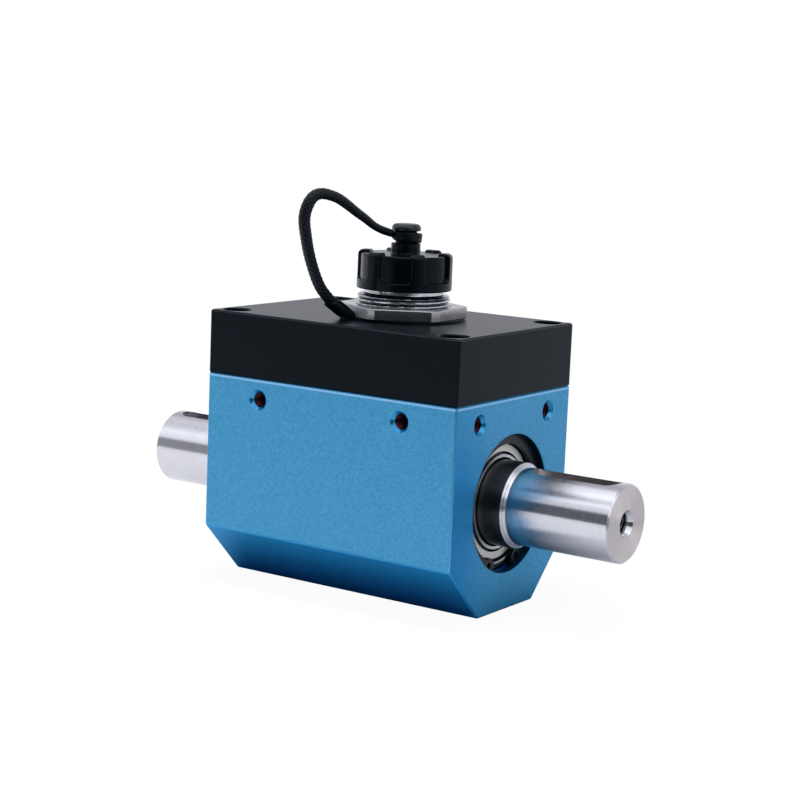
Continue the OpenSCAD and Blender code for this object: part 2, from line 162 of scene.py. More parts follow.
# ---------------------------------------------------------------- tether: route points in metres, in the upright plane of the tether
CONN = (3.0, 0.0)
COVER_TOP = 65.0
TETHER_DIR = math.radians(-114.0)
T_OUT = np.array([math.cos(TETHER_DIR), math.sin(TETHER_DIR), 0.0])
T_SIDE = np.array([-math.sin(TETHER_DIR), math.cos(TETHER_DIR), 0.0])
ROUTE = [
    (0.0170, 0.00225), (0.0185, 0.00325), (0.0200, 0.0045), (0.0210, 0.0055), (0.0220, 0.0065), (0.0230, 0.0080),
    (0.0240, 0.0100), (0.0250, 0.0125), (0.0260, 0.0155), (0.0265, 0.0175), (0.0270, 0.0200), (0.0275, 0.0230),
    (0.0270, 0.0255), (0.0260, 0.0275), (0.0250, 0.0285), (0.0230, 0.0290), (0.0210, 0.0285), (0.0190, 0.0280),
    (0.0165, 0.0265), (0.0135, 0.0245), (0.0110, 0.0230), (0.0090, 0.0215), (0.0065, 0.0205)]
CORD_R = 1.3


def in_plane(u, h):
    u, h = np.asarray(u, float), np.asarray(h, float)
    return np.array([CONN[0], CONN[1], COVER_TOP]) + u[..., None] * T_OUT + h[..., None] * np.array([0, 0, 1.0])


def route_curve(per=16):
    p = np.array(ROUTE) * 1000.0
    n = len(p)
    out = []
    for k in range(n - 1):
        a, b, c, d = p[max(k - 1, 0)], p[k], p[k + 1], p[min(k + 2, n - 1)]
        for t in np.arange(per) / per:
            out.append(0.5 * (2 * b + (c - a) * t + (2 * a - 5 * b + 4 * c - d) * t * t + (3 * b - a - 3 * c + d) * t ** 3))
    out.append(p[-1])
    out = np.array(out)
    s = np.concatenate([[0], np.cumsum(np.linalg.norm(np.diff(out, axis=0), axis=1))])
    # the stiff braid takes out the small kinks between the points; both ends stay where they are
    even = np.linspace(0, s[-1], 401)
    out = np.stack([np.interp(even, s, out[:, k]) for k in (0, 1)], -1)
    w = np.exp(-0.5 * (np.arange(-32, 33) * even[1] / 1.1) ** 2)
    wide = np.concatenate([2 * out[0] - out[32:0:-1], out, 2 * out[-1] - out[-2:-34:-1]])
    out = np.stack([np.convolve(wide[:, k], w / w.sum(), "valid") for k in (0, 1)], -1)
    s = np.concatenate([[0], np.cumsum(np.linalg.norm(np.diff(out, axis=0), axis=1))])
    return out, s


curve, curve_s = route_curve()
CORD_L = curve_s[-1]


def make_cord():
    ds = 0.125
    n = int(CORD_L / ds) + 1
    s = np.linspace(0, CORD_L, n)
    uv = np.stack([np.interp(s, curve_s, curve[:, 0]), np.interp(s, curve_s, curve[:, 1])], -1)
    pts = in_plane(uv[:, 0], uv[:, 1])
    d = np.gradient(pts, axis=0)
    d /= np.linalg.norm(d, axis=1)[:, None]
    up = np.cross(T_SIDE, d)
    rad = np.interp(s / CORD_L, [0, 0.25, 0.40, 0.54, 0.63, 0.75, 0.86, 0.95, 1], [1.20, 1.22, 1.29, 1.33, 1.22, 1.12, 0.99, 0.86, 0.84]) * CORD_R / 1.3
    b = Builder()
    tube(b, pts, rad * 0.91, T_SIDE, 20)
    lay, per = 8.4, 7
    w = TAU * s / lay
    for turn in (1, -1):
        over = rad * (0.955 + turn * 0.040 * np.cos(per * w))
        for k in range(per):
            phi = TAU * k / per + turn * w
            er = np.cos(phi)[:, None] * up + np.sin(phi)[:, None] * T_SIDE
            line = pts + over[:, None] * er
            along = np.gradient(line, axis=0)
            along /= np.linalg.norm(along, axis=1)[:, None]
            et = np.cross(along, er)
            et /= np.linalg.norm(et, axis=1)[:, None]
            eo = np.cross(et, along)
            a = np.arange(8) * TAU / 8
            half_w, half_t = rad[:, None, None] * 0.29, rad[:, None, None] * 0.085
            ring = line[:, None, :] + half_w * np.cos(a)[None, :, None] * et[:, None, :] + half_t * np.sin(a)[None, :, None] * eo[:, None, :]
            faces = grid_faces(n, 8)
            faces.append(tuple(range(8))[::-1])
            faces.append(tuple((n - 1) * 8 + j for j in range(8)))
            b.add(ring, faces)
    return b.piece("tether_cord_braid", 60), pts


cord, cord_path = make_cord()
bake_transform(cord)
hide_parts("tether_cord")


# ---------------------------------------------------------------- sleeve at the lower end
def make_sleeve():
    a, e = np.array([14.0, 0.0]), np.array([19.5, 4.0])
    length = np.linalg.norm(e - a)
    t = np.concatenate([np.linspace(0.2, length - 0.4, 28), [length - 0.22, length - 0.08, length, length, length - 0.6]])
    r = np.concatenate([np.full(28, 1.6), [1.59, 1.55, 1.45, 1.34, 1.3]])
    d = (in_plane(e[0], e[1]) - in_plane(a[0], a[1])) / length
    up = np.cross(T_SIDE, d)
    ang = np.arange(48) * TAU / 48
    # the upper end is cut on the slant, the lower one is upright and flat underneath
    slant = 1.6 * math.tan(math.radians(36.0)) * np.clip((t - 2.5) / (length - 2.5), 0, 1)
    along = t[:, None] + slant[:, None] * np.cos(ang)[None, :]
    ring = in_plane(a[0], a[1]) + along[..., None] * d + r[:, None, None] * (np.cos(ang)[None, :, None] * up + np.sin(ang)[None, :, None] * T_SIDE)
    low = COVER_TOP + 0.5
    ring[..., 2] = np.where(ring[..., 2] < low + 0.25, low + 0.25 * np.clip(np.exp((ring[..., 2] - low - 0.25) / 0.25), 0, 1), ring[..., 2])
    off = ring[..., :2] - np.array(CONN)
    rho = np.linalg.norm(off, axis=-1)
    ring[..., :2] = np.array(CONN) + off * (np.maximum(rho, 13.9) / rho)[..., None]
    faces = grid_faces(len(t), 48)
    faces.append(tuple(range(48))[::-1])
    faces.append(tuple((len(t) - 1) * 48 + j for j in range(48)))
    b = Builder()
    b.add(ring, faces)
    return b.piece("tether_sleeve_shrink", 50)


sleeve = make_sleeve()
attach(sleeve, "housing")
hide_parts("tether_sleeve")


# ---------------------------------------------------------------- eye on the cap's knob
def make_eye():
    flat, b = Builder(), Builder()
    c = 0.35
    prof = [(2.9, 0.0)] + arc((2.9 + 0.2, -1.0), 0.2, 180, 270, 5) + arc((3.75 - c, -1.2 + c), c, 270, 360, 7) + arc((3.75 - c, 1.05 - c), c, 0, 90, 7) + arc((2.9 + 0.2, 0.85), 0.2, 90, 180, 5)
    r = np.array([p[0] for p in prof])[:, None] * np.ones((1, 96))
    z = np.array([p[1] for p in prof])[:, None] * np.ones((1, 96))
    lathe(flat, r, z)
    v = np.concatenate(flat.v)
    tilt = math.radians(5.5)                             # the tether holds the eye askew
    o, q, h = v @ T_OUT, v @ T_SIDE, v[:, 2]
    o, h = o * math.cos(tilt) - h * math.sin(tilt), o * math.sin(tilt) + h * math.cos(tilt)
    h = np.minimum(h + 19.1, 20.15)                      # pressed flat under the button
    reach = 0.85 * o - 0.525 * q
    h = np.where(reach > 2.5, np.maximum(h, np.minimum(18.0 + 0.9 * (reach - 2.5), 19.4)), h)
    b.add(in_plane(o, h) + q[:, None] * T_SIDE, flat.f)
    u = np.linspace(3.15, 7.0, 24)
    h = np.interp(u, [3.0, 3.7, 4.4, 6.5, 7.5], [19.4, 19.6, 19.88, 20.5, 20.9])
    rad = np.interp(u, [3.15, 3.6, 4.2, 6.4, 6.9, 7.0], [0.55, 0.68, 0.90, 0.93, 0.9, 0.8])
    tube(b, in_plane(u, h), rad, T_SIDE, 32)
    return b.piece("tether_eye_loop", 45)


eye = make_eye()
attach(eye, "tether_eye")
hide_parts("tether_eye")


# ---------------------------------------------------------------- dust cap: ribs and sunk panels in one moulded skin
def make_cap():
    cols, ribs, rib_at = 720, 6, 20.6
    r0 = 11.2
    ang = np.arange(cols) * 360.0 / cols
    off = (ang - rib_at + 30.0) % 60.0 - 30.0           # degrees from the nearest rib's middle
    from_panel = 30.0 - np.abs(off)                     # degrees from the panel's middle
    u = np.radians(from_panel) * 10.8
    half = math.radians(21.25) * 10.8
    rib_pts, pan_pts = [], []

    def both(pts):
        rib_pts.extend(pts)
        pan_pts.extend(pts)

    both([(0, 78.5), (4.0, 78.5), (9.0, 78.5), (9.28, 78.2), (9.28, 75.0), (9.28, 72.1), (9.5, 71.8), (10.4, 71.8)])
    both(arc((10.96, 72.04), 0.24, 270, 360, 6))
    zs = np.arange(72.15, 78.4, 0.1)
    both([(r0, z) for z in zs])
    n = 9
    rib_pts += [(r0, z) for z in np.linspace(78.5, 79.4, n)]
    pan_pts += [(r0, z) for z in np.linspace(78.5, 79.45, n)]
    rib_pts += arc((r0 - 1.2, 79.4), 1.2, 0, 90, 9)
    pan_pts += arc((r0 - 0.55, 79.45), 0.55, 0, 90, 9)
    rib_pts += [(r, 80.6) for r in np.linspace(r0 - 1.4, r0 - 2.5, 6)]
    pan_pts += [(r, 80.0) for r in np.linspace(r0 - 0.9, r0 - 2.0, 6)]
    rib_pts += arc((r0 - 2.5, 80.2), 0.4, 95, 180, 6) + [(r0 - 2.95, 80.05), (r0 - 3.1, 80.01)]
    pan_pts += [(r, 80.0) for r in np.linspace(r0 - 2.2, r0 - 3.0, 7)] + [(r0 - 3.1, 80.0)]
    first_free = len(rib_pts)
    both([(r0 - 3.3, 80.0), (6.5, 80.0), (5.0, 80.0)])
    both(arc((3.95, 80.5), 0.5, 270, 180, 7))
    both([(3.45, z) for z in (80.9, 81.5, 81.9)] + arc((3.3, 82.35), 0.15, 0, 90, 5) + [(2.75, 82.5)])
    both(arc((2.7, 82.7), 0.2, 270, 180, 4) + [(2.5, 84.0)] + arc((2.7, 85.2), 0.2, 180, 90, 4))
    both([(2.9, 85.4)] + arc((3.05, 85.75), 0.35, 270, 360, 6) + [(3.4, 85.95)] + arc((2.35, 85.97), 1.05, 0, 82, 10) + [(1.4, 87.02), (0.0, 87.05)])
    rib_pts, pan_pts = np.array(rib_pts), np.array(pan_pts)
    z_at = rib_pts[:, 1].copy()
    z_at[np.arange(len(z_at)) < 14] = 71.8
    z_at[first_free:] = 79.0
    # rounded-rectangle mask of a panel, open at the top
    zb, rc = 73.8, 1.3
    qx = np.abs(u)[None, :] - (half - rc)
    qy = (zb + rc) - np.minimum(z_at, 78.9)[:, None]
    sd = np.hypot(np.maximum(qx, 0), np.maximum(qy, 0)) + np.minimum(np.maximum(qx, qy), 0) - rc
    mask = 1 - np.sqrt(1 - np.clip((0.28 - sd) / 0.42, 0, 1) ** 2)       # rounded lip, sharp inner corner
    mask[:14] = 0
    sunk = pan_pts[:, None, :] * np.ones((1, cols, 1))
    depth = np.where(np.arange(len(z_at)) < first_free, 0.8, 0.0)
    fade = np.clip((np.arange(len(z_at)) - 14) / 1.0, 0, 1) * (depth > 0)
    sunk[..., 0] -= (depth * fade)[:, None] * np.clip(1 - np.maximum(0, (r0 - 1.9) - pan_pts[:, 0]) / 1.2, 0, 1)[:, None]
    r = rib_pts[:, None, 0] * (1 - mask) + sunk[..., 0] * mask
    z = rib_pts[:, None, 1] * (1 - mask) + sunk[..., 1] * mask
    b = Builder()
    lathe(b, r, z, CONN)
    return b.piece("dust_cap_moulded", 40)


cap = make_cap()
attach(cap, "dust_cap")
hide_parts("dust_cap")


# ---------------------------------------------------------------- connector shell with its cut thread
def make_shell():
    cols, pitch = 240, 1.0
    ang = np.arange(cols) / cols
    rows = [(7.6, 58.0, 0), (7.6, 57.4, 0), (12.7, 57.4, 0), (13.0, 57.7, 0), (13.0, 59.9, 0), (12.7, 60.2, 0), (11.0, 60.2, 0), (11.0, 62.0, 0), (11.0, 65.4, 0)]
    rows += [(11.0, z, 1) for z in np.arange(65.5, 70.66, 0.05)]
    rows += [(9.75, 70.66, 0), (9.45, 70.7, 0), (9.25, 70.85, 0), (9.2, 71.05, 0), (9.2, 72.0, 0), (9.2, 75.0, 0), (9.2, 76.7, 0)]
    rows += [(p[0], p[1], 0) for p in arc((8.8, 76.8), 0.4, 0, 90, 5)] + [(8.0, 77.2, 0)] + [(p[0], p[1], 0) for p in arc((8.0, 76.8), 0.4, 90, 180, 5)] + [(7.6, 74.0, 0), (7.6, 66.0, 0)]
    rows = np.array(rows)
    z = rows[:, 1:2] * np.ones((1, cols))
    ph = (z / pitch - ang[None, :]) % 1.0
    v = np.abs(ph - 0.5) * 2                              # 0 on the crest, 1 in the root
    cut = np.clip((v - 0.28) / 0.60, 0, 1) * 0.50
    r = rows[:, 0:1] - cut * rows[:, 2:3]
    r = np.where(rows[:, 2:3] > 0, np.minimum(r, 10.35 + np.maximum(0, 70.66 - z) * 1.1), r)
    b = Builder()
    lathe(b, r, z, CONN)
    return b.piece("connector_shell_thread", 32)


shell = make_shell()
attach(shell, "housing")
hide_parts("connector_shell")


# ---------------------------------------------------------------- hexagon nut with turned corners and softened edges
def make_nut():
    cols = 720
    off = (np.arange(cols) * 360.0 / cols - 4.0 + 30.0) % 60.0 - 30.0

    def outline(d):
        return np.minimum((13.5 - d) / np.cos(np.radians(off)), 15.0 - d)

    rows = [(np.full(cols, 11.05), 65.5), (outline(0.12), 65.5), (outline(0.0), 65.62), (outline(0.0), 66.7), (outline(0.0), 67.8)]
    rows += [(outline(0.3 * (1 - math.cos(t))), 67.8 + 0.3 * math.sin(t)) for t in np.radians(np.linspace(12, 90, 7))]
    rows += [(outline(0.6), 68.1), (np.full(cols, 12.2), 68.1), (np.full(cols, 11.5), 68.1), (np.full(cols, 11.05), 67.7)]
    b = Builder()
    lathe(b, np.array([r for r, z in rows]), np.array([np.full(cols, z) for r, z in rows]), CONN)
    return b.piece("connector_nut_edges", 28)


nut = make_nut()
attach(nut, "housing")
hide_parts("connector_nut")


# ---------------------------------------------------------------- cut threads in the mounting holes and the shaft's ends
def cut_thread(b, mouth, inward, crest, root, pitch, start, depth):
    """Helical ridge on the wall of a round hole, from start to depth below its mouth."""
    inward = np.asarray(inward, float)
    e1 = np.cross(inward, (0, 0, 1.0))
    e2 = np.cross(inward, e1)
    cols, step = 56, pitch / 10.0
    t = np.arange(start, depth, step)
    ang = np.arange(cols) / cols
    v = np.abs((t[:, None] / pitch - ang[None, :]) % 1.0 - 0.5) * 2
    r = crest + (root - crest) * np.clip((v - 0.18) / 0.68, 0, 1)
    fade = np.clip((t - start) / (0.3 * pitch), 0, 1)[:, None]
    r = root + (r - root) * fade
    r = np.concatenate([r, np.full((2, cols), root + 0.01)])
    t = np.concatenate([t, [depth, start]])
    a = ang * TAU
    ring = np.asarray(mouth, float) + t[:, None, None] * inward + r[:, :, None] * (np.cos(a)[None, :, None] * e1 + np.sin(a)[None, :, None] * e2)
    rows = len(t)
    faces = grid_faces(rows, cols)
    base = (rows - 1) * cols
    faces += [(base + j, base + (j + 1) % cols, (j + 1) % cols, j) for j in range(cols)]
    b.add(ring, faces)


HOLES = [((x, -25.0, 45.0), (0, 1, 0)) for x in (-20.0, 20.0)] + [((35.0, y, 45.0), (-1, 0, 0)) for y in (-15.0, 15.0)]


def make_hole_threads():
    b = Builder()
    for mouth, inward in HOLES:
        cut_thread(b, mouth, inward, 1.68, 1.98, 0.7, 0.82, 8.9)
    return b.piece("mount_hole_threads", 32)


def make_hole_sinks():
    """The inner part of each hole's countersink, down to the thread's crest."""
    b = Builder()
    a = np.arange(64) * TAU / 64
    for mouth, inward in HOLES:
        inward = np.asarray(inward, float)
        e1 = np.cross(inward, (0, 0, 1.0))
        e2 = np.cross(inward, e1)
        rt = np.array([(1.995, 0.50), (1.90, 0.60), (1.72, 0.78), (1.69, 0.83), (1.70, 0.95), (1.995, 0.95)])
        ring = np.asarray(mouth) + rt[:, 1, None, None] * inward + rt[:, 0, None, None] * (np.cos(a)[None, :, None] * e1 + np.sin(a)[None, :, None] * e2)
        faces = grid_faces(len(rt), 64)
        base = (len(rt) - 1) * 64
        faces += [(base + j, base + (j + 1) % 64, (j + 1) % 64, j) for j in range(64)]
        b.add(ring, faces)
    return b.piece("mount_hole_countersinks", 32)


def make_shaft_threads():
    b = Builder()
    cut_thread(b, (65.0, 0, 25.0), (-1, 0, 0), 2.28, 2.48, 1.0, 1.3, 14.0)
    cut_thread(b, (-65.0, 0, 25.0), (1, 0, 0), 2.28, 2.48, 1.0, 1.3, 14.0)
    return b.piece("shaft_end_threads", 32)


hole_threads, hole_sinks, shaft_threads = make_hole_threads(), make_hole_sinks(), make_shaft_threads()
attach(hole_threads, "housing")
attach(hole_sinks, "housing")
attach(shaft_threads, "shaft")


# ---------------------------------------------------------------- materials
class Mat:
    """A Principled material with small helpers; object coordinates are metres in the part's frame."""

    def __init__(self, name, **values):
        self.m = bpy.data.materials.new(name)
        self.m.use_nodes = True
        self.t = self.m.node_tree
        self.p = self.t.nodes["Principled BSDF"]
        for k, v in values.items():
            self.p.inputs[k.replace("_", " ")].default_value = (*v, 1.0) if isinstance(v, tuple) else v
        self.c = self.t.nodes.new("ShaderNodeTexCoord")

    def node(self, kind, *links, **props):
        n = self.t.nodes.new(kind)
        for k, v in props.items():
            if hasattr(n, k):
                setattr(n, k, v)
            else:
                n.inputs[k.replace("_", " ")].default_value = v
        for i, x in enumerate(links):
            if x is not None:
                self.put(n.inputs[i], x)
        return n

    def put(self, socket, x):
        if isinstance(x, (int, float)):
            socket.default_value = x
        elif isinstance(x, tuple):
            socket.default_value = x
        else:
            self.t.links.new(x if isinstance(x, bpy.types.NodeSocket) else x.outputs[0], socket)

    def stretch(self, sx, sy, sz):
        n = self.node("ShaderNodeMapping", self.c.outputs["Object"])
        n.inputs["Scale"].default_value = (sx, sy, sz)
        return n

    def noise(self, scale, detail=2.0, rough=0.5, vec=None):
        n = self.node("ShaderNodeTexNoise")
        self.put(n.inputs["Vector"], vec if vec is not None else self.c.outputs["Object"])
        n.inputs["Scale"].default_value = scale
        n.inputs["Detail"].default_value = detail
        n.inputs["Roughness"].default_value = rough
        return n.outputs["Fac"]

    def math(self, op, a, b=None, c=None):
        n = self.t.nodes.new("ShaderNodeMath")
        n.operation = op
        for i, x in enumerate((a, b, c)):
            if x is not None:
                self.put(n.inputs[i], x)
        return n.outputs[0]

    def span(self, x, a0, a1, b0, b1):
        n = self.t.nodes.new("ShaderNodeMapRange")
        self.put(n.inputs[0], x)
        for i, v in enumerate((a0, a1, b0, b1)):
            n.inputs[i + 1].default_value = v
        return n.outputs[0]

    def ease(self, x, a0, a1, b0=0.0, b1=1.0):
        n = self.t.nodes.new("ShaderNodeMapRange")
        n.interpolation_type = "SMOOTHSTEP"
        self.put(n.inputs[0], x)
        for i, v in enumerate((a0, a1, b0, b1)):
            n.inputs[i + 1].default_value = v
        return n.outputs[0]

    def pick(self, f, a, b):
        """A number between a and b."""
        n = self.t.nodes.new("ShaderNodeMix")
        for i, x in ((0, f), (2, a), (3, b)):
            self.put(n.inputs[i], x)
        return n.outputs[0]

    def part(self, i):
        """One object coordinate, in millimetres."""
        n = self.node("ShaderNodeSeparateXYZ", self.c.outputs["Object"])
        return self.math("MULTIPLY", n.outputs[i], 1000.0)

    def off_axis(self, u, v):
        """Distance of the point from an axis, from its two coordinates across it."""
        return self.math("SQRT", self.math("ADD", self.math("MULTIPLY", u, u), self.math("MULTIPLY", v, v)))

    def mix(self, f, a, b):
        n = self.t.nodes.new("ShaderNodeMix")
        n.data_type = "RGBA"
        self.put(n.inputs[0], f)
        self.put(n.inputs[6], (*a, 1.0) if isinstance(a, tuple) and len(a) == 3 else a)
        self.put(n.inputs[7], (*b, 1.0) if isinstance(b, tuple) and len(b) == 3 else b)
        return n.outputs[2]

    def colour(self, x):
        self.put(self.p.inputs["Base Color"], x)

    def rough(self, x):
        self.put(self.p.inputs["Roughness"], x)

    def bump(self, x, strength=0.2, dist=0.0001, below=None):
        n = self.t.nodes.new("ShaderNodeBump")
        n.inputs["Strength"].default_value = strength
        n.inputs["Distance"].default_value = dist
        self.put(n.inputs["Height"], x)
        if below is not None:
            self.t.links.new(below.outputs[0], n.inputs["Normal"])
        self.t.links.new(n.outputs[0], self.p.inputs["Normal"])
        return n


def blue_anodised():
    m = Mat("blue_anodised", Metallic=0.8, Specular_IOR_Level=0.3)
    grain = m.noise(3100, 4.0, 0.64)
    fine = m.noise(7000, 2.0, 0.6)
    cloud = m.noise(60, 2.0)
    x, y, z = m.part(0), m.part(1), m.part(2)
    tone = m.span(grain, 0.32, 0.68, 0, 1)
    a = m.mix(tone, (0.054, 0.272, 0.494), (0.130, 0.444, 0.704))
    # painted shade: a more saturated blue on the lower chamfers, and a darker blue painted along the front edge of the
    # right end, deeper towards the bottom
    low = m.math("MULTIPLY", m.span(m.math("ABSOLUTE", y), 24.80, 24.92, 1, 0),
                 m.math("MULTIPLY", m.span(m.math("ABSOLUTE", x), 34.75, 34.9, 1, 0), m.span(z, 13.0, 13.2, 1, 0)))
    a = m.mix(low, a, m.mix(tone, (0.034, 0.292, 0.600), (0.066, 0.428, 0.790)))
    # painted shade along the front edge of the right end, stronger low down
    turn = m.math("MULTIPLY", m.span(x, 34.9, 34.95, 0, 1), m.math("MULTIPLY", m.ease(y, -25, -6, 0.85, 0), m.ease(z, 32, 46, 1, 0.5)))
    a = m.mix(turn, a, m.mix(tone, (0.014, 0.192, 0.468), (0.038, 0.316, 0.668)))
    a = m.mix(m.span(cloud, 0.3, 0.7, 0.0, 0.06), a, (0.093, 0.378, 0.657))
    # painted highlight: the broken edges are painted paler
    ends = m.span(m.math("ABSOLUTE", x), 34.62, 34.72, 0, 1)
    sides = m.span(m.math("ABSOLUTE", y), 24.62, 24.72, 0, 1)
    tops = m.span(z, 49.62, 49.72, 0, 1)
    edge = m.math("MINIMUM", m.math("MAXIMUM", m.math("ADD", m.math("ADD", ends, sides), m.math("SUBTRACT", tops, 1.0)), 0.0), 1.0)
    a = m.mix(m.math("MULTIPLY", edge, 0.35), a, (0.20, 0.50, 0.78))
    # painted highlight: a band along the top of the side faces, paler still
    rim = m.math("MULTIPLY", m.math("MAXIMUM", m.span(m.math("ABSOLUTE", x), 34.93, 34.97, 0, 1), m.span(m.math("ABSOLUTE", y), 24.93, 24.97, 0, 1)), m.span(z, 49.15, 49.3, 0, 1))
    a = m.mix(rim, a, (0.30, 0.60, 0.90))
    # painted shade on the bore's wall, lighter towards the bottom
    r = m.off_axis(y, m.math("SUBTRACT", z, 25.0))
    bore_shade = m.math("MULTIPLY", m.span(r, 16.17, 16.21, 1, 0), m.span(m.math("ABSOLUTE", x), 35.5, 35.6, 1, 0))
    # smooth turned countersinks round the threaded holes
    up = m.math("SUBTRACT", z, 45.0)
    front = m.math("MULTIPLY", m.span(m.off_axis(m.math("SUBTRACT", m.math("ABSOLUTE", x), 20.0), up), 2.49, 2.53, 1, 0), m.span(y, -24.4, -24.3, 1, 0))
    end = m.math("MULTIPLY", m.span(m.off_axis(m.math("SUBTRACT", m.math("ABSOLUTE", y), 15.0), up), 2.49, 2.53, 1, 0), m.span(x, 34.3, 34.4, 0, 1))
    sink = m.math("MAXIMUM", front, end)
    a = m.mix(sink, a, (0.055, 0.29, 0.53))
    m.colour(m.mix(bore_shade, a, m.mix(m.span(z, 10.0, 16.0, 0, 1), (0.030, 0.140, 0.260), (0.012, 0.070, 0.118))))
    matt = m.span(m.math("ADD", m.math("MULTIPLY", grain, 0.6), m.math("MULTIPLY", fine, 0.4)), 0.35, 0.65, 0.42, 0.56)
    m.rough(m.pick(sink, m.pick(edge, matt, 0.32), 0.17))
    m.bump(m.math("ADD", m.math("MULTIPLY", grain, 0.65), m.math("MULTIPLY", fine, 0.35)), 0.30, 0.00008)
    return m.m


def black_anodised():
    m = Mat("black_anodised", Specular_IOR_Level=0.18)
    grain = m.noise(2600, 4.0, 0.62)
    cloud = m.noise(60, 2.0)
    a = m.mix(m.span(grain, 0.32, 0.68, 0, 1), (0.0019, 0.0024, 0.0032), (0.0077, 0.0088, 0.0108))
    a = m.mix(m.span(cloud, 0.3, 0.7, 0.0, 0.25), a, (0.0066, 0.0074, 0.0092))
    x, y, z = m.part(0), m.part(1), m.part(2)
    # painted highlight: the broken edges are painted lighter
    ends = m.span(m.math("ABSOLUTE", x), 34.55, 34.7, 0, 1)
    sides = m.span(m.math("ABSOLUTE", y), 24.55, 24.7, 0, 1)
    tops = m.span(z, 64.5, 64.65, 0, 1)
    edge = m.math("MINIMUM", m.math("MAXIMUM", m.math("SUBTRACT", m.math("ADD", m.math("ADD", ends, sides), tops), 1.0), 0.0), 1.0)
    m.colour(m.mix(m.math("MULTIPLY", edge, 0.5), a, (0.030, 0.032, 0.036)))
    m.rough(m.span(grain, 0.32, 0.68, 0.27, 0.38))
    m.bump(grain, 0.16, 0.00005)
    return m.m


def ground_steel():
    m = Mat("ground_steel", Metallic=1.0, Anisotropic=0.85, Anisotropic_Rotation=0.25)
    m.put(m.p.inputs["Tangent"], m.node("ShaderNodeTangent", direction_type="RADIAL", axis="X"))
    lines = m.noise(1.0, 4.0, 0.7, m.stretch(3200, 1100, 1100))
    broad = m.noise(1.0, 2.0, 0.5, m.stretch(500, 12, 12))
    fleck = m.noise(1500, 3.0, 0.6)
    x, y, z = m.part(0), m.part(1), m.part(2)
    r = m.off_axis(y, m.math("SUBTRACT", z, 25.0))
    # turned rings on the end faces
    rings = m.node("ShaderNodeTexNoise", noise_dimensions="1D")
    rings.inputs["Scale"].default_value = 1.0
    rings.inputs["Detail"].default_value = 3.0
    m.put(rings.inputs["W"], m.math("MULTIPLY", r, 9.0))
    face = m.span(m.math("ABSOLUTE", x), 64.93, 64.98, 0, 1)
    key = m.math("MULTIPLY", m.span(m.math("SUBTRACT", z, 25.0), 8.40, 8.46, 1, 0),
                 m.math("MULTIPLY", m.span(m.math("ABSOLUTE", y), 3.02, 3.06, 1, 0), m.span(z, 30.3, 30.4, 0, 1)))
    key = m.math("MULTIPLY", key, m.math("MULTIPLY", m.span(m.math("ABSOLUTE", x), 40.9, 40.95, 0, 1), m.span(m.math("ABSOLUTE", x), 63.05, 63.1, 1, 0)))
    a = m.mix(m.span(lines, 0.3, 0.7, 0, 1), (0.60, 0.60, 0.62), (0.72, 0.72, 0.74))
    a = m.mix(m.span(broad, 0.3, 0.7, 0, 0.25), a, (0.58, 0.58, 0.61))
    ends = m.mix(m.span(m.math("ADD", m.math("MULTIPLY", rings.outputs[0], 0.6), m.math("MULTIPLY", fleck, 0.4)), 0.3, 0.7, 0, 1), (0.672, 0.636, 0.616), (0.812, 0.769, 0.746))
    a = m.mix(face, a, ends)
    # painted shade: the journal beside the bearing is painted near-black
    shaded_journal = m.span(m.math("ABSOLUTE", x), 38.05, 38.15, 1, 0)
    a = m.mix(shaded_journal, a, (0.155, 0.150, 0.146))
    m.colour(m.mix(key, a, (0.55, 0.51, 0.50)))
    deep = m.math("MULTIPLY", m.span(r, 2.9, 3.1, 1, 0), m.span(m.math("ABSOLUTE", x), 63.7, 64.0, 1, 0))
    smooth_side = m.math("ADD", m.span(lines, 0.3, 0.7, 0.15, 0.23), m.math("MULTIPLY", shaded_journal, 0.12))
    turned_end = m.span(rings.outputs[0], 0.3, 0.7, 0.40, 0.52)
    n = m.node("ShaderNodeMix")
    m.put(n.inputs[0], m.math("MAXIMUM", face, m.math("MAXIMUM", key, deep)))
    m.put(n.inputs[2], smooth_side)
    m.put(n.inputs[3], turned_end)
    m.rough(n.outputs[0])
    first = m.bump(lines, 0.035, 0.00003)
    m.bump(m.math("MULTIPLY", face, rings.outputs[0]), 0.10, 0.00004, first)
    return m.m


def steel(name, base, r0, r1, scale=3000, bump=0.05):
    m = Mat(name, Metallic=1.0)
    g = m.noise(scale, 3.0, 0.6)
    c = m.noise(180, 2.0)
    dark = tuple(x * 0.86 for x in base)
    m.colour(m.mix(m.span(g, 0.3, 0.7, 0, 1), dark, base))
    m.rough(m.span(c, 0.3, 0.7, r0, r1))
    m.bump(g, bump, 0.00003)
    return m.m


def bearing_steel():
    m = Mat("bearing_steel", Metallic=1.0)
    g = m.noise(3000, 3.0, 0.6)
    r = m.off_axis(m.part(1), m.math("SUBTRACT", m.part(2), 25.0))
    a = m.mix(m.span(g, 0.3, 0.7, 0, 1), (0.60, 0.60, 0.61), (0.70, 0.70, 0.71))
    # shaded chamfer against the shaft, and the shaded step under the shield
    a = m.mix(m.span(r, 11.11, 11.15, 0, 1), a, (0.012, 0.012, 0.012))
    m.colour(m.mix(m.span(r, 10.38, 10.44, 1, 0), a, (0.02, 0.02, 0.02)))
    m.rough(m.span(m.noise(180, 2.0), 0.3, 0.7, 0.40, 0.48))
    m.bump(g, 0.05, 0.00003)
    return m.m


def shield_steel():
    m = Mat("shield_steel", Metallic=1.0)
    g = m.noise(2400, 3.0, 0.6)
    r = m.off_axis(m.part(1), m.math("SUBTRACT", m.part(2), 25.0))
    a = m.mix(m.span(g, 0.3, 0.7, 0, 1), (0.71, 0.69, 0.63), (0.83, 0.81, 0.74))
    # shaded groove round the pressed rim
    m.colour(m.mix(m.span(r, 13.42, 13.5, 0, 1), a, (0.014, 0.014, 0.014)))
    m.rough(m.span(m.noise(180, 2.0), 0.3, 0.7, 0.48, 0.58))
    m.bump(g, 0.08, 0.00003)
    return m.m


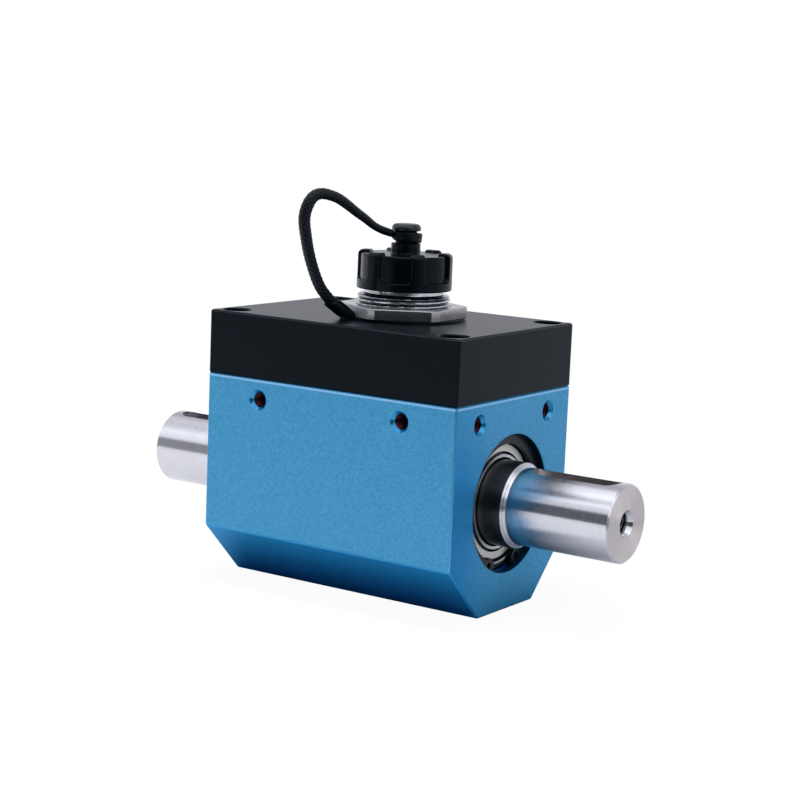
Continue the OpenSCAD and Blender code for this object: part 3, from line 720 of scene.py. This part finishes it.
def outer_steel():
    m = Mat("bearing_outer_steel", Metallic=1.0)
    g = m.noise(3000, 3.0, 0.6)
    r = m.off_axis(m.part(1), m.math("SUBTRACT", m.part(2), 25.0))
    # painted shade: the outer ring is painted dark
    a = m.mix(m.span(g, 0.3, 0.7, 0, 1), (0.086, 0.086, 0.09), (0.10, 0.10, 0.105))
    # painted highlight on the edge next to the shield
    m.colour(m.mix(m.span(r, 14.62, 14.7, 1, 0), a, (0.62, 0.60, 0.56)))
    m.rough(m.span(m.noise(180, 2.0), 0.3, 0.7, 0.34, 0.44))
    m.bump(g, 0.05, 0.00003)
    return m.m


def plated():
    m = Mat("nickel_thread", Metallic=1.0)
    g = m.noise(2400, 3.0, 0.6)
    r = m.off_axis(m.math("SUBTRACT", m.part(0), 3.0), m.part(1))
    z = m.part(2)
    # painted shade in the thread's valleys
    valley_shade = m.math("MULTIPLY", m.span(r, 10.50, 10.92, 1, 0), m.math("MULTIPLY", m.span(z, 65.3, 65.4, 0, 1), m.span(z, 70.5, 70.6, 1, 0)))
    a = m.mix(m.span(g, 0.3, 0.7, 0, 1), (0.50, 0.51, 0.52), (0.66, 0.67, 0.68))
    m.colour(m.mix(valley_shade, a, (0.10, 0.105, 0.112)))
    m.rough(m.span(g, 0.3, 0.7, 0.13, 0.25))
    m.bump(g, 0.55, 0.00004)
    return m.m


def nut_plating():
    m = Mat("nut_plating", Metallic=1.0)
    g = m.noise(2600, 3.0, 0.6)
    x, y = m.math("SUBTRACT", m.part(0), 3.0), m.part(1)
    a = m.mix(m.span(g, 0.3, 0.7, 0, 1), (0.39, 0.39, 0.38), (0.46, 0.46, 0.45))
    # the turned corners are duller, and the flat beside the sleeve is painted lighter, a painted highlight, and made
    # matt
    corner = m.span(m.off_axis(x, y), 14.7, 14.85, 0, 1)
    c, q = math.cos(math.radians(-116.0)), math.sin(math.radians(-116.0))
    lit_flat = m.span(m.math("ADD", m.math("MULTIPLY", x, c), m.math("MULTIPLY", y, q)), 13.3, 13.42, 0, 1)
    a = m.mix(corner, a, (0.44, 0.44, 0.44))
    m.colour(m.mix(lit_flat, a, (0.56, 0.56, 0.58)))
    m.rough(m.pick(lit_flat, m.span(m.noise(180, 2.0), 0.3, 0.7, 0.22, 0.30), 0.70))
    m.bump(g, 0.03, 0.00003)
    return m.m


def cap_plastic():
    m = Mat("cap_plastic", Specular_IOR_Level=0.24)
    g = m.noise(1800, 3.0, 0.55)
    c = m.noise(140, 2.0)
    knob = m.span(m.part(2), 85.3, 85.4, 0, 1)
    a = m.mix(m.span(c, 0.3, 0.7, 0, 1), (0.0030, 0.0034, 0.0040), (0.0050, 0.0056, 0.0064))
    # painted highlight: the button is painted lighter, with a stronger and rougher gloss
    m.colour(m.mix(knob, a, (0.010, 0.010, 0.011)))
    m.put(m.p.inputs["Specular IOR Level"], m.pick(knob, 0.22, 0.60))
    m.rough(m.pick(knob, m.span(g, 0.3, 0.7, 0.20, 0.30), 0.36))
    m.bump(g, 0.08, 0.00005)
    return m.m


def sunk_blue():
    m = Mat("countersink_blue", Metallic=0.8, Specular_IOR_Level=0.3)
    g = m.noise(2300, 3.0, 0.6)
    m.colour(m.mix(m.span(g, 0.3, 0.7, 0, 1), (0.050, 0.27, 0.50), (0.066, 0.32, 0.57)))
    m.rough(m.span(g, 0.3, 0.7, 0.15, 0.21))
    m.bump(g, 0.05, 0.00003)
    return m.m


def black_steel():
    m = Mat("black_steel", Metallic=0.5, Specular_IOR_Level=0.5)
    g = m.noise(2600, 3.0, 0.6)
    m.colour(m.mix(m.span(g, 0.3, 0.7, 0, 1), (0.030, 0.029, 0.029), (0.060, 0.057, 0.056)))
    m.rough(m.span(g, 0.3, 0.7, 0.32, 0.48))
    m.bump(g, 0.1, 0.00004)
    return m.m


def plastic(name, base, r0, r1, scale=2200, bump=0.08, spec=0.5):
    m = Mat(name, Specular_IOR_Level=spec)
    g = m.noise(scale, 3.0, 0.55)
    c = m.noise(140, 2.0)
    lift = tuple(x * 1.35 + 0.001 for x in base)
    m.colour(m.mix(m.span(c, 0.3, 0.7, 0, 1), base, lift))
    m.rough(m.span(g, 0.3, 0.7, r0, r1))
    m.bump(g, bump, 0.00005)
    return m.m


def braid():
    m = Mat("black_braid", Specular_IOR_Level=0.36, Sheen_Weight=0.03, Sheen_Roughness=0.4)
    g = m.noise(5200, 3.0, 0.7)
    m.colour(m.mix(m.span(g, 0.3, 0.7, 0, 1), (0.0020, 0.0022, 0.0028), (0.0090, 0.0092, 0.0105)))
    m.rough(m.span(g, 0.3, 0.7, 0.26, 0.40))
    m.bump(g, 0.30, 0.00006)
    return m.m


def copper():
    m = Mat("copper", Metallic=1.0)
    turns = m.noise(1.0, 1.0, 0.4, m.stretch(5200, 40, 40))
    m.colour(m.mix(m.span(turns, 0.35, 0.65, 0, 1), (0.30, 0.11, 0.05), (0.78, 0.36, 0.18)))
    m.rough(m.span(turns, 0.3, 0.7, 0.3, 0.45))
    m.bump(turns, 0.5, 0.0001)
    return m.m


def circuit_board():
    m = Mat("circuit_board", Specular_IOR_Level=0.5, Coat_Weight=0.3, Coat_Roughness=0.2)
    g = m.noise(900, 3.0)
    lines = m.node("ShaderNodeTexBrick", m.c.outputs["Object"])
    lines.inputs["Scale"].default_value = 160
    lines.inputs["Mortar Size"].default_value = 0.03
    lines.inputs["Color1"].default_value = (0.012, 0.10, 0.045, 1)
    lines.inputs["Color2"].default_value = (0.014, 0.13, 0.055, 1)
    lines.inputs["Mortar"].default_value = (0.03, 0.20, 0.09, 1)
    m.colour(m.mix(m.span(g, 0.3, 0.7, 0, 0.3), lines.outputs[0], (0.01, 0.09, 0.04)))
    m.rough(m.span(g, 0.3, 0.7, 0.32, 0.45))
    m.bump(lines.outputs[1], 0.1, 0.00003)
    return m.m


BLUE, BLACK_ANO, GROUND = blue_anodised(), black_anodised(), ground_steel()
BEARING, SINK = bearing_steel(), sunk_blue()
OUTER, SHIELD = outer_steel(), shield_steel()
NICKEL, NUT = steel("nickel", (0.60, 0.60, 0.59), 0.24, 0.32, 2600, 0.06), nut_plating()
PLATED = plated()
# painted shade: the tapped walls of the mounting holes are painted near-black with a maroon tint
TAPPED_SHADE = steel("tapped_wall", (0.115, 0.036, 0.042), 0.30, 0.42, 1800, 0.15)
SHAFT_TAP = steel("shaft_tapped_wall", (0.16, 0.16, 0.165), 0.28, 0.40, 1800, 0.12)
BRASS = steel("brass", (0.74, 0.52, 0.20), 0.2, 0.3)
GOLD = steel("contact_gold", (0.83, 0.60, 0.22), 0.15, 0.24)
SPACER = steel("spacer_metal", (0.63, 0.64, 0.66), 0.25, 0.38)
BLACK_STEEL, COPPER, BOARD, BRAID = black_steel(), copper(), circuit_board(), braid()
CAP = cap_plastic()
RUBBER = plastic("sleeve_rubber", (0.0028, 0.0030, 0.0034), 0.34, 0.46, 2600, 0.10, 0.30)
INSERT = plastic("insert_plastic", (0.010, 0.010, 0.010), 0.35, 0.5)
BOBBIN = plastic("bobbin_plastic", (0.022, 0.022, 0.026), 0.4, 0.5)
CHIP = plastic("chip_epoxy", (0.012, 0.012, 0.012), 0.5, 0.6)
FILM = plastic("gauge_film", (0.50, 0.22, 0.05), 0.3, 0.4)
WIRE = plastic("wire_jacket", (0.45, 0.02, 0.02), 0.35, 0.45)
SEAL = plastic("seal_rubber", (0.25, 0.03, 0.02), 0.5, 0.6)
BLACK_SEAL = plastic("black_seal", (0.012, 0.012, 0.012), 0.5, 0.62)

LOOKS = {
    "housing": BLUE, "top_cover": BLACK_ANO, "cover_screws": BLACK_STEEL, "shaft": GROUND,
    "bearing_outer": OUTER, "bearing_inner": BEARING, "bearing_shields": SHIELD, "balls": BEARING, "cage": BRASS, "retaining_ring": BLACK_STEEL,
    "strain_gauges": FILM, "rotor_circuit": BOARD, "rotor_bobbin": BOBBIN, "rotor_winding": COPPER, "stator_bobbin": BOBBIN, "stator_winding": COPPER,
    "spacer": SPACER, "stator_leads": WIRE, "signal_board": BOARD, "board_chips": CHIP, "board_standoffs": BRASS, "board_screws": SPACER,
    "connector_shell": NICKEL, "connector_insert": INSERT, "connector_contacts": GOLD, "connector_seal": BLACK_SEAL, "connector_nut": NICKEL,
    "tether_ring": RUBBER, "tether_sleeve": RUBBER, "tether_cord": BRAID, "tether_eye": RUBBER, "dust_cap": CAP, "cap_seal": SEAL,
}


def dress(obj, mat):
    obj.data.materials.clear()
    obj.data.materials.append(mat)


for name, obj in NODES.items():
    key = name[:-6] if name.endswith("_right") else name[:-5] if name.endswith("_left") else name
    dress(obj, LOOKS[key])
dress(cord, BRAID)
dress(sleeve, RUBBER)
dress(eye, RUBBER)
dress(cap, CAP)
dress(shell, PLATED)
dress(nut, NUT)
dress(hole_threads, TAPPED_SHADE)
dress(hole_sinks, SINK)
dress(shaft_threads, SHAFT_TAP)


# ---------------------------------------------------------------- stage: pale floor and a soft studio all round
def make_floor():
    s = 6000.0
    floor = mesh_piece("floor", [(-s, -s, -0.05), (s, -s, -0.05), (s, s, -0.05), (-s, s, -0.05)], [(0, 1, 2, 3)])
    m = Mat("floor_paper", Roughness=0.9, Specular_IOR_Level=0.1, Emission_Color=(1.0, 1.0, 1.0))
    x, y = m.part(0), m.part(1)

    def toward(u, v):
        return m.math("ADD", m.math("MULTIPLY", x, u), m.math("MULTIPLY", y, v))

    # painted shade on the paper in front of the block, and painted light, a glow on the paper, at the left and behind
    ahead = toward(0.56, -0.83)
    slant = m.math("DIVIDE", m.math("ABSOLUTE", toward(0.83, 0.56)), m.math("MAXIMUM", ahead, 1.0))
    shade = m.math("MULTIPLY", m.ease(ahead, 110.0, 220.0), m.ease(slant, 0.42, 0.85, 1.0, 0.0))
    lp = m.node("ShaderNodeLightPath")
    shade = m.math("MULTIPLY", shade, m.math("SUBTRACT", 1.0, lp.outputs["Is Camera Ray"]))
    away = toward(-0.6, -0.8)
    near = m.off_axis(m.math("MAXIMUM", m.math("SUBTRACT", m.math("ABSOLUTE", x), 30.0), 0.0), m.math("MAXIMUM", m.math("SUBTRACT", m.math("ABSOLUTE", y), 20.0), 0.0))
    wash = m.math("MULTIPLY", m.ease(away, -32.0, 6.0, 0.0, 0.37), m.ease(near, 2.0, 14.0))
    wash = m.math("SUBTRACT", wash, m.ease(away, 160.0, 600.0, 0.0, 0.16))
    wash = m.math("ADD", wash, m.ease(toward(0.5, 0.86), 130.0, 240.0, 0.0, 0.20))
    # deep shadow under the block
    under = m.off_axis(m.math("MAXIMUM", m.math("SUBTRACT", m.math("ABSOLUTE", x), 33.0), 0.0), m.math("MAXIMUM", m.math("SUBTRACT", m.math("ABSOLUTE", y), 18.0), 0.0))
    # painted shade: the paper is darker towards the back right
    paper = m.mix(m.ease(toward(0.5, 0.86), 40.0, 140.0), (0.74, 0.74, 0.745), (0.57, 0.57, 0.585))
    paper = m.mix(m.ease(under, 0.0, 22.0), (0.19, 0.22, 0.27), paper)
    m.colour(m.mix(shade, paper, (0.05, 0.05, 0.055)))
    m.put(m.p.inputs["Emission Strength"], m.math("MULTIPLY", wash, m.math("SUBTRACT", 1.0, shade)))
    # the paper is burnt out to white where it is seen directly
    glow = m.node("ShaderNodeEmission")
    glow.inputs[0].default_value = (1, 1, 1, 1)
    glow.inputs[1].default_value = 1.03
    both = m.node("ShaderNodeMixShader")
    m.put(both.inputs[0], m.math("MULTIPLY", lp.outputs["Is Camera Ray"], 0.93))
    m.put(both.inputs[1], m.p.outputs[0])
    m.put(both.inputs[2], glow)
    m.put(m.t.nodes["Material Output"].inputs[0], both)
    floor.data.materials.append(m.m)
    return floor


def make_world():
    w = bpy.data.worlds.new("studio")
    SCENE.world = w
    w.use_nodes = True
    t = w.node_tree
    t.nodes.clear()
    out = t.nodes.new("ShaderNodeOutputWorld")
    tc = t.nodes.new("ShaderNodeTexCoord")
    sep = t.nodes.new("ShaderNodeSeparateXYZ")
    t.links.new(tc.outputs["Generated"], sep.inputs[0])

    def math_node(op, a, b=None):
        n = t.nodes.new("ShaderNodeMath")
        n.operation = op
        for i, x in enumerate((a, b)):
            if x is None:
                continue
            if isinstance(x, (int, float)):
                n.inputs[i].default_value = x
            else:
                t.links.new(x, n.inputs[i])
        return n.outputs[0]

    turn = math_node("ARCTAN2", sep.outputs[2], math_node("MULTIPLY", sep.outputs[1], -1.0))
    turn = math_node("DIVIDE", turn, math.pi)          # 0 front horizon, 0.5 overhead, 1 back horizon

    def ramp(stops):
        n = t.nodes.new("ShaderNodeValToRGB")
        n.color_ramp.interpolation = "EASE"
        el = n.color_ramp.elements
        while len(el) > 1:
            el.remove(el[-1])
        el[0].position = stops[0][0] / 180.0
        el[0].color = (*(stops[0][1],) * 3, 1)
        for a, v in stops[1:]:
            e = el.new(a / 180.0)
            e.color = (v, v, v, 1)
        t.links.new(turn, n.inputs[0])
        return n.outputs[0]

    # brightness in quarters of full white, by angle up from the front horizon and over the top
    over = [(79, 0.43), (103, 0.33), (113, 0.18), (125, 0.14), (150, 0.18), (180, 0.24)]
    dark = ramp([(0, 0.02), (27, 0.025), (34, 0.22), (43, 0.26), (51, 0.37), (63, 0.27)] + over)
    board = ramp([(0, 0.03), (27, 0.03), (34, 0.22), (43, 0.26), (51, 0.37), (63, 0.27)] + over)
    side = ramp([(0, 0.12), (26, 0.115), (34, 0.30), (44, 0.33), (58, 0.34), (68, 0.31), (77, 0.18), (86, 0.15), (98, 0.19), (112, 0.20), (125, 0.14), (150, 0.18), (180, 0.24)])

    def ease(x, a, b):
        n = t.nodes.new("ShaderNodeMapRange")
        n.interpolation_type = "SMOOTHSTEP"
        t.links.new(x, n.inputs[0])
        n.inputs[1].default_value, n.inputs[2].default_value = a, b
        return n.outputs[0]

    def blend(f, a, b):
        n = t.nodes.new("ShaderNodeMix")
        n.data_type = "RGBA"
        t.links.new(f, n.inputs[0])
        t.links.new(a, n.inputs[6])
        t.links.new(b, n.inputs[7])
        return n

    left = math_node("MULTIPLY", sep.outputs[0], -1.0)
    mix = blend(ease(left, 0.50, 0.64), blend(ease(left, 0.05, 0.42), dark, board).outputs[2], side)
    mix = blend(ease(sep.outputs[0], 0.72, 0.95), mix.outputs[2], side)
    tint = t.nodes.new("ShaderNodeMix")
    tint.data_type, tint.blend_type = "RGBA", "MULTIPLY"
    tint.inputs[0].default_value = 1.0
    tint.inputs[7].default_value = (0.965, 0.97, 1.06, 1)
    t.links.new(mix.outputs[2], tint.inputs[6])
    studio = t.nodes.new("ShaderNodeBackground")
    t.links.new(tint.outputs[2], studio.inputs[0])
    studio.inputs[1].default_value = 4.0
    plain = t.nodes.new("ShaderNodeBackground")
    plain.inputs[0].default_value = (1, 1, 1, 1)
    plain.inputs[1].default_value = 1.0
    lp = t.nodes.new("ShaderNodeLightPath")
    pick = t.nodes.new("ShaderNodeMixShader")
    t.links.new(lp.outputs["Is Camera Ray"], pick.inputs[0])
    t.links.new(studio.outputs[0], pick.inputs[1])
    t.links.new(plain.outputs[0], pick.inputs[2])
    t.links.new(pick.outputs[0], out.inputs[0])


make_floor()
make_world()
SCENE.view_settings.view_transform = "Standard"
SCENE.view_settings.look = "None"
# print contrast: the deepest tones are let down a little
SCENE.view_settings.use_curve_mapping = True
tone = SCENE.view_settings.curve_mapping
for at in ((0.005, 0.0025), (0.01, 0.0048), (0.02, 0.0115), (0.04, 0.030), (0.1, 0.090), (0.3, 0.294)):
    tone.curves[3].points.new(*at)
for at in ((0.005, 0.003), (0.01, 0.0075), (0.02, 0.0165), (0.05, 0.046), (0.2, 0.197)):
    tone.curves[0].points.new(*at)
for at in ((0.005, 0.0056), (0.01, 0.0112), (0.02, 0.0216), (0.05, 0.0515), (0.2, 0.201)):
    tone.curves[2].points.new(*at)
for k in (0, 2, 3):
    for point in tone.curves[k].points:
        point.handle_type = "VECTOR"
tone.update()
